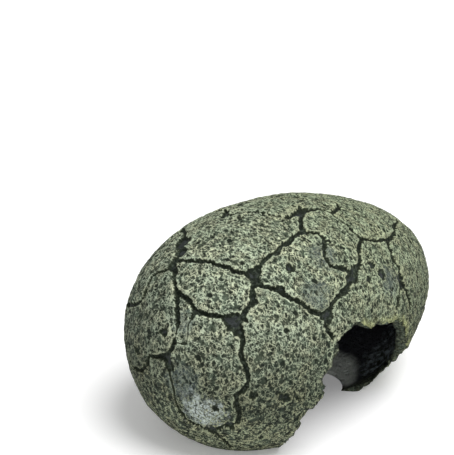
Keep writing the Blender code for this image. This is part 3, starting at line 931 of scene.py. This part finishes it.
def spots(net, place, form, places, ragged=1.2):
    """1 inside any of these places and 0 outside. Ragged is their edges' wander, in radii."""
    wander = net.waves(place, 4.0, ragged, 3.0, 0.6)
    found = None
    for (lon, lat), radius in places:
        away = net.vector("DISTANCE", place, tuple(form.place(lon, lat) / MM))
        share = net.step(net.plus(net.times(away, 1 / radius), wander), 1.1, 0.35)
        found = share if found is None else net.either(found, share)
    return found


def plate_colour(net, place, colours, pale, pore):
    """The plates: dark stone with darker pores and pale crests, darker low down, with painted shade
    low down and at the back.
    """

    # Darkens a colour towards the pores' colour, here as painted shade
    def shade_painted(colour, share):
        return net.tint(share, colour, net.tint(0.8, colour, colours.pore))

    length, depth, height = (net.part(place, index) for index in range(3))
    ragged = net.plus(height, net.times(net.noise(place, 15.0), 14.0))
    bottom = net.step(ragged, *OLIVE_HEIGHTS)
    # Painted shade at the back, on the side turned from the light, but not at the crown
    back = net.step(net.plus(depth, net.times(net.noise(place, 12.0), 24.0)), *BACK_SHADE_DEPTHS)
    back = net.times(back, net.step(height, *CROWN_HEIGHTS))
    # The crests are less pale low down, and less pale at the back as painted shade
    pale = net.less(pale, net.either(net.times(bottom, 0.18), net.times(back, 0.14)))
    dark, light = ([*(part * share for part in colours.stone[:3]), 1] for share in (0.6, 1.35))
    colour = net.tint(net.patches(place, 3.0, 0.38, 0.64, 3.0, 0.6), dark, light)
    colour = net.tint(net.times(pore, 0.95), colour, colours.pore)
    colour = net.tint(net.times(bottom, 0.35), colour, colours.pore)
    crest = net.tint(net.times(bottom, 0.6), colours.ridge, colours.olive)
    colour = net.tint(net.math("MULTIPLY", pale, 1.0, clamp=True), colour, crest)

    # Painted shade: the stone is dimmed towards the bottom, where less light falls, but less so
    # again by the ground
    low = net.step(ragged, *PAINTED_SHADE_HEIGHTS)
    low = net.times(low, net.opposite(net.times(net.step(height, *GROUND_HEIGHTS), 0.6)))
    colour = shade_painted(colour, net.times(low, 0.62))
    hue = net.patches(place, 6.0, 0.36, 0.62, 2.0, 0.6)
    colour = net.vector("MULTIPLY", colour, net.tint(hue, WARM, COOL))
    # Painted shade at the back, on the side turned from the light
    colour = shade_painted(colour, net.times(back, 0.26))
    pointed = net.step(net.plus(length, net.times(net.noise(place, 12.0), 60.0)), *WARM_LENGTHS)
    warmed = net.vector("MULTIPLY", colour, POINTED_END)
    return net.tint(net.share(pointed, 0.2, 1.0), colour, warmed)


def patched(net, place, form, colours, colour, ridge, pore):
    """The plates' colour with its blue-grey, mossy and bleached patches."""
    blue = net.times(spots(net, place, form, BLUE_SPOTS), 0.5)
    colour = net.tint(net.times(blue, net.opposite(pore)), colour, colours.blue)
    near = net.step(attribute(net, "rim_distance"), *MOSS_REACH)
    moss = net.times(spots(net, place, form, MOSS_SPOTS), near)
    moss = net.times(moss, net.share(net.patches(place, 1.1, 0.38, 0.6), 0.35, 1.0))
    moss = net.times(moss, net.share(ridge, 0.45, 1.0))
    colour = net.tint(moss, colour, colours.moss)
    bleach = net.times(spots(net, place, form, BLEACH_SPOTS, 1.92), 0.9)
    bleach = net.times(bleach, net.patches(place, 0.9, 0.38, 0.60, 3.0, 0.65))
    return net.tint(bleach, colour, colours.bleach)


def crack_colour(net, place, colours, edge):
    """Dark cracks with crumbs of stone in them, and the slate-grey filling of the wide ones."""
    colour = net.tint(net.times(net.step(edge, 0.1, -0.5), 0.8), colours.crack, colours.pore)
    crumbs = net.times(net.patches(place, 1.5, 0.48, 0.64, 3.0, 0.65), net.step(edge, 0.0, -0.6))
    colour = net.tint(net.times(crumbs, 0.6), colour, colours.stone)
    filled = net.times(net.step(edge, -0.9, -1.6), net.patches(place, 1.6, 0.3, 0.6, 3.0, 0.6))
    return net.tint(filled, colour, colours.filler)


def broken_colour(net, place, colours, ridge):
    """The grainy stone of the broken edge."""
    grit = net.patches(place, 1.4, 0.40, 0.66, 4.0, 0.65)
    colour = net.tint(grit, colours.pore, colours.stone)
    return net.tint(net.times(ridge, 0.15), colour, colours.olive)


def lining_colour(net, place, form, colours):
    """The dark lining, with painted light low down that stands for lit floor seen through the hole,
    and slate-grey clots beside the hole, made paler in part as painted light.
    """
    cloud = net.times(net.patches(place, 5.0, 0.4, 0.65, 4.0), 0.4)
    colour = net.tint(cloud, colours.inside, colours.filler)
    height = net.part(place, 2)
    # Painted light: a pale patch low on the lining, standing for lit floor seen through the hole
    low = net.step(net.plus(height, net.times(net.noise(place, 6.0), 2.0)), *PAINTED_LIGHT_HEIGHTS)
    drift = net.less(net.part(place, 1), net.times(height, PAINTED_LIGHT_SLOPE))
    painted_floor_light = net.times(low, net.step(drift, *PAINTED_LIGHT_DRIFT))
    colour = net.tint(net.times(painted_floor_light, 0.95), colour, colours.painted_floor_light)
    # Slate-grey clots beside the hole, partly painted light: made paler to stand in for light
    # falling inside
    clots = net.patches(place, 2.6, 0.42, 0.62, 3.0, 0.65)
    slate = net.tint(clots, colours.crack, colours.slate)
    return net.tint(spots(net, place, form, LIT_SLATE_SPOTS), colour, slate)


def stone(form, relief, colours):
    """The material of the whole shell."""
    material = bpy.data.materials.new("fossil_stone")
    material.use_nodes = True
    net = Net(material.node_tree)
    shader = material.node_tree.nodes["Principled BSDF"]
    place = attribute(net, "rest_place", "FLOAT_VECTOR")
    wall = attribute(net, "wall_depth")
    rim = attribute(net, "rim_distance")
    ridge, pore = fine_net(net, along(net, place), relief.pore_pitch / MM)
    edge = crack_edge(net, place, relief.crumble / MM, pore)

    speck = net.noise(place, 0.5, 2.0, 0.7)
    dry = net.share(net.noise(place, 11.0, 3.0, 0.6), 0.55, 1.55)
    lip = net.times(net.patches(place, 1.5, 0.38, 0.62), 0.85)
    lip = net.times(net.step(edge, 1.1, 0.45), lip)
    pale = net.times(net.either(ridge, lip), net.times(dry, net.share(speck, 0.44, 1.84)))
    colour = plate_colour(net, place, colours, pale, pore)
    colour = patched(net, place, form, colours, colour, ridge, pore)
    colour = net.tint(net.step(edge, 0.32, -0.02), colour, crack_colour(net, place, colours, edge))
    broken = broken_colour(net, place, colours, ridge)
    colour = net.tint(net.step(wall, 0.03, 0.16), colour, broken)
    lining = lining_colour(net, place, form, colours)
    lining = net.tint(net.step(rim, *BROKEN_REACH), lining, broken)
    colour = net.tint(net.step(wall, 0.8, 1.0), colour, lining)
    net.join(colour, shader.inputs["Base Color"])
    shader.inputs["Roughness"].default_value = ROUGHNESS
    shader.inputs["Specular IOR Level"].default_value = SPECULAR

    lumps = net.times(net.noise(place, 3.2, 3.0, 0.6), net.times(net.step(wall, 0.2, 0.8), 4.0))
    height = net.less(net.times(ridge, 0.5), net.times(pore, 0.5))
    height = net.plus(net.plus(height, net.times(speck, 0.35)), lumps)
    bump = net.add("ShaderNodeBump")
    net.join(height, bump.inputs["Height"])
    bump.inputs["Strength"].default_value = 1.0
    bump.inputs["Distance"].default_value = BUMP_DEPTH
    net.join(bump.outputs[0], shader.inputs["Normal"])
    return material


# ----------------------------------------
# Operators
# ----------------------------------------


class FOSSIL_OT_shell(bpy.types.Operator):
    """Carve and colour the eggshell"""

    bl_idname = "fossil.shell"
    bl_label = "Eggshell"

    def execute(self, context):
        settings, relief = context.scene.egg_form, context.scene.egg_relief
        form = Form(settings)
        shell = copy_of_solid()
        sort_faces(shell.data, form, settings, relief)
        marks = altered(crack_marks(shell.data, form, settings, relief), form)
        divide(shell, relief, form, marks)
        lay_on_form(shell, form, settings, marks)
        note_cracks(shell, form, marks)
        lay_out(shell, form)
        one_slot = np.zeros(len(shell.data.polygons), np.int32)
        shell.data.polygons.foreach_set("material_index", one_slot)
        shell.data.materials.clear()
        shell.data.materials.append(stone(form, relief, context.scene.egg_colours))
        carve(shell, relief)
        only(shell)
        bpy.ops.object.shade_smooth()
        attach(shell, "root")
        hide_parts(SHELL_NODE)
        return {"FINISHED"}


FLOOR_SIZE, FLOOR_ROUGHNESS, FLOOR_GLOW = 8, 0.9, 0.16
WORLD_LIGHT = 0.43
# Lights: kind, place in metres, the way they shine, energy
LIGHTS = {
    "soft_light": ("SUN", (-0.35, -0.25, 0.75), (-0.08, 0.38, -0.92), 2.75),
    "fill_light": ("AREA", (-0.75, -0.62, 0.20), (0.75, 0.62, -0.17), 1.2),
}
SUN_ANGLE, FILL_SIZE = math.radians(38), 0.6
CAMERA_PLACE = (-0.40954, -0.34359, 0.28786)
CAMERA_TURN = (math.radians(68.30), 0, math.radians(-47.08))
SENSOR_WIDTH, LENS, CLIP_START = 36, 111.01, 0.01


class FOSSIL_OT_stage(bpy.types.Operator):
    """Add the floor and the lights"""

    bl_idname = "fossil.stage"
    bl_label = "Floor and lights"

    def execute(self, context):
        bpy.ops.object.select_all(action="DESELECT")
        bpy.ops.mesh.primitive_plane_add(size=FLOOR_SIZE, location=(0, 0, 0))
        floor = context.active_object
        floor.name = "floor"
        material = bpy.data.materials.new("floor_paper")
        material.use_nodes = True
        inputs = material.node_tree.nodes["Principled BSDF"].inputs
        inputs["Base Color"].default_value = context.scene.egg_colours.floor
        inputs["Roughness"].default_value = FLOOR_ROUGHNESS
        inputs["Emission Color"].default_value = (1, 1, 1, 1)
        inputs["Emission Strength"].default_value = FLOOR_GLOW
        floor.data.materials.append(material)
        world = bpy.data.worlds.new("studio")
        world.use_nodes = True
        background = world.node_tree.nodes["Background"].inputs
        background["Color"].default_value = (1, 1, 1, 1)
        background["Strength"].default_value = WORLD_LIGHT
        context.scene.world = world
        for name, (kind, place, way, energy) in LIGHTS.items():
            bpy.ops.object.light_add(type=kind, location=place)
            lamp = context.active_object
            lamp.name = name
            lamp.data.energy = energy
            lamp.rotation_euler = Vector(way).to_track_quat("-Z", "Y").to_euler()
            if kind == "SUN":
                lamp.data.angle = SUN_ANGLE
            else:
                lamp.data.size = FILL_SIZE
        context.scene.view_settings.view_transform = "Standard"
        return {"FINISHED"}


class FOSSIL_OT_camera(bpy.types.Operator):
    """Add the camera"""

    bl_idname = "fossil.camera"
    bl_label = "Camera"

    def execute(self, context):
        bpy.ops.object.select_all(action="DESELECT")
        bpy.ops.object.camera_add(location=CAMERA_PLACE, rotation=CAMERA_TURN)
        camera = context.active_object
        camera.name = "camera"
        camera.data.sensor_fit = "HORIZONTAL"
        camera.data.sensor_width = SENSOR_WIDTH
        camera.data.lens = LENS
        camera.data.clip_start = CLIP_START
        context.scene.camera = camera
        return {"FINISHED"}


class FOSSIL_PT_panel(bpy.types.Panel):
    """Lists the steps and their settings"""

    bl_label = "Fossil egg"
    bl_idname = "FOSSIL_PT_panel"
    bl_space_type = "VIEW_3D"
    bl_region_type = "UI"
    bl_category = "Fossil egg"

    def draw(self, context):
        for step in STEPS:
            self.layout.operator(step.bl_idname)
        for name in ("egg_form", "egg_relief", "egg_colours"):
            group = getattr(context.scene, name)
            box = self.layout.box()
            for key in group.__annotations__:
                box.prop(group, key)


STEPS = (FOSSIL_OT_shell, FOSSIL_OT_stage, FOSSIL_OT_camera)
GROUPS = {"egg_form": EggForm, "egg_relief": EggRelief, "egg_colours": EggColours}


def register():
    for kind in (*GROUPS.values(), *STEPS, FOSSIL_PT_panel):
        bpy.utils.register_class(kind)
    for name, group in GROUPS.items():
        setattr(bpy.types.Scene, name, bpy.props.PointerProperty(type=group))


def unregister():
    for name in GROUPS:
        delattr(bpy.types.Scene, name)
    for kind in (FOSSIL_PT_panel, *reversed(STEPS), *GROUPS.values()):
        bpy.utils.unregister_class(kind)


def main():
    register()
    bpy.ops.fossil.shell()
    bpy.ops.fossil.stage()
    bpy.ops.fossil.camera()


if __name__ == "__main__":
    main()
